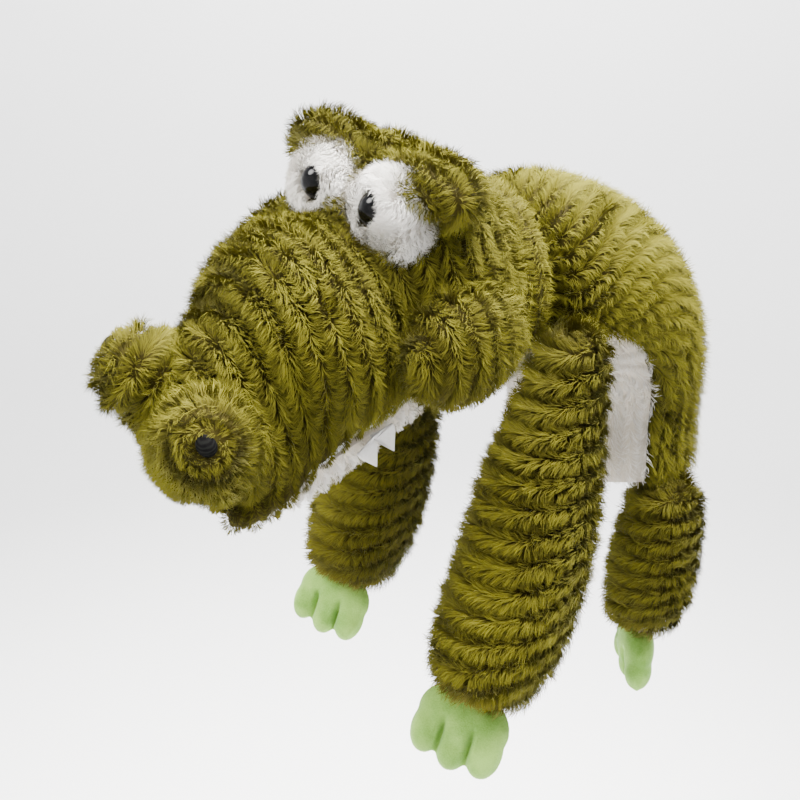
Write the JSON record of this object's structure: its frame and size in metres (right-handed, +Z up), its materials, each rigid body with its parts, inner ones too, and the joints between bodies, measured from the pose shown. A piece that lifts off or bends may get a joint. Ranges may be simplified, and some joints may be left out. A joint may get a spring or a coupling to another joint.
{
  "type": "moving mouth puppet",
  "caption": "Plush crocodile hand puppet with a mouth that opens, a bent sleeve body open under the belly, long curly pile, felt teeth and floppy legs with webbed feet.",
  "frame": {"origin": "centre of the open hem under the body, where the hand goes in", "axes": "+Z up, -Y the way the puppet faces, +X its left side"},
  "size_m": [0.1719, 0.2946, 0.2835],
  "materials": {
    "green_plush": "long curly pile",
    "white_plush": "short soft pile",
    "white_fur": "long straight pile",
    "green_velour": "short smooth pile",
    "white_felt": "flat felt",
    "mouth_cloth": "smooth cloth",
    "lining_cloth": "woven lining",
    "wadding": "loose fibre filling",
    "stiffener": "flexible sheet",
    "black_eye": "polished",
    "washer_plastic": "moulded",
    "black_thread": "satin stitch",
    "binding": "folded tape"
  },
  "bodies": {
    "body": {"back_panel": "green_plush", "belly_panel": "white_plush", "body_wadding": "wadding", "hem_binding": "binding", "hand_lining": "lining_cloth", "neck_lining": "lining_cloth"},
    "neck": {"nape_band": "green_plush", "throat_band": "white_plush"},
    "head": {"head_skin": "green_plush", "head_stuffing": "wadding", "finger_pocket": "lining_cloth", "upper_mouth_lining": "mouth_cloth", "upper_mouth_plate": "stiffener", "mouth_hinge": "binding", "jowl_left": "green_plush", "jowl_right": "green_plush", "nostril_mound_left": "green_plush", "nostril_mound_right": "green_plush", "nostril_stitch_left": "black_thread", "nostril_stitch_right": "black_thread", "eye_patch_left": "white_fur", "eye_patch_right": "white_fur", "brow_left": "green_plush", "brow_right": "green_plush", "eye_left": "black_eye", "eye_right": "black_eye", "eye_washer_left": "washer_plastic", "eye_washer_right": "washer_plastic", "upper_teeth_left": "white_felt", "upper_teeth_right": "white_felt"},
    "jaw": {"jaw_skin": "white_plush", "jaw_stuffing": "wadding", "thumb_pocket": "lining_cloth", "lower_mouth_lining": "mouth_cloth", "lower_mouth_plate": "stiffener"},
    "front_left_shoulder": {"front_left_button": "washer_plastic"},
    "front_left_leg": {"front_left_leg_skin": "green_plush", "front_left_leg_stuffing": "wadding", "front_left_ankle_roll": "binding"},
    "front_left_foot": {"front_left_foot_skin": "green_velour", "front_left_foot_stuffing": "wadding"},
    "front_right_shoulder": {"front_right_button": "washer_plastic"},
    "front_right_leg": {"front_right_leg_skin": "green_plush", "front_right_leg_stuffing": "wadding", "front_right_ankle_roll": "binding"},
    "front_right_foot": {"front_right_foot_skin": "green_velour", "front_right_foot_stuffing": "wadding"},
    "hind_left_hip": {"hind_left_button": "washer_plastic"},
    "hind_left_leg": {"hind_left_leg_skin": "green_plush", "hind_left_leg_stuffing": "wadding", "hind_left_ankle_roll": "binding"},
    "hind_left_foot": {"hind_left_foot_skin": "green_velour", "hind_left_foot_stuffing": "wadding"},
    "hind_right_hip": {"hind_right_button": "washer_plastic"},
    "hind_right_leg": {"hind_right_leg_skin": "green_plush", "hind_right_leg_stuffing": "wadding", "hind_right_ankle_roll": "binding"},
    "hind_right_foot": {"hind_right_foot_skin": "green_velour", "hind_right_foot_stuffing": "wadding"}
  },
  "joints": [
    {"name": "neck_turn", "type": "hinge", "parent": "body", "child": "neck", "pos_m": [0, -0.088, 0.097], "axis": [0, 0, 1], "range_deg": [-12, 12]},
    {"name": "head_nod", "type": "hinge", "parent": "neck", "child": "head", "pos_m": [0, -0.088, 0.097], "axis": [1, 0, 0], "range_deg": [-12, 12]},
    {"name": "jaw_open", "type": "hinge", "parent": "head", "child": "jaw", "pos_m": [0.00145, -0.13416, 0.0864], "axis": [0.9703, 0.0827, -0.2273], "range_deg": [0, 28], "stiffness_Nm_per_rad": 0.06, "springref_deg": -25.78},
    {"name": "front_left_spread", "type": "hinge", "parent": "body", "child": "front_left_shoulder", "pos_m": [0.054, -0.078, 0.072], "axis": [0, -1, 0], "range_deg": [-4, 14]},
    {"name": "front_left_swing", "type": "hinge", "parent": "front_left_shoulder", "child": "front_left_leg", "pos_m": [0.054, -0.078, 0.072], "axis": [1, 0, 0], "range_deg": [-15, 25]},
    {"name": "front_left_foot_flex", "type": "hinge", "parent": "front_left_leg", "child": "front_left_foot", "pos_m": [0.05641, -0.12828, -0.06137], "axis": [0.8381, 0.4957, -0.2278], "range_deg": [-15, 15]},
    {"name": "front_right_spread", "type": "hinge", "parent": "body", "child": "front_right_shoulder", "pos_m": [-0.054, -0.078, 0.072], "axis": [0, 1, 0], "range_deg": [-4, 14]},
    {"name": "front_right_swing", "type": "hinge", "parent": "front_right_shoulder", "child": "front_right_leg", "pos_m": [-0.054, -0.078, 0.072], "axis": [1, 0, 0], "range_deg": [-15, 25]},
    {"name": "front_right_foot_flex", "type": "hinge", "parent": "front_right_leg", "child": "front_right_foot", "pos_m": [-0.06383, -0.11457, -0.061], "axis": [0.8469, 0.4606, -0.2658], "range_deg": [-15, 15]},
    {"name": "hind_left_spread", "type": "hinge", "parent": "body", "child": "hind_left_hip", "pos_m": [0.047, -0.002, -0.0135], "axis": [0, -1, 0], "range_deg": [-4, 14]},
    {"name": "hind_left_swing", "type": "hinge", "parent": "hind_left_hip", "child": "hind_left_leg", "pos_m": [0.047, -0.002, -0.0135], "axis": [1, 0, 0], "range_deg": [-15, 20]},
    {"name": "hind_left_foot_flex", "type": "hinge", "parent": "hind_left_leg", "child": "hind_left_foot", "pos_m": [0.0401, -0.00531, -0.07767], "axis": [0.807, -0.5878, -0.0564], "range_deg": [-15, 15]},
    {"name": "hind_right_spread", "type": "hinge", "parent": "body", "child": "hind_right_hip", "pos_m": [-0.047, -0.002, -0.0135], "axis": [0, 1, 0], "range_deg": [-4, 14]},
    {"name": "hind_right_swing", "type": "hinge", "parent": "hind_right_hip", "child": "hind_right_leg", "pos_m": [-0.047, -0.002, -0.0135], "axis": [1, 0, 0], "range_deg": [-15, 20]},
    {"name": "hind_right_foot_flex", "type": "hinge", "parent": "hind_right_leg", "child": "hind_right_foot", "pos_m": [-0.05646, -0.01501, -0.078], "axis": [0.809, -0.5878, 0], "range_deg": [-15, 15]}
  ]
}
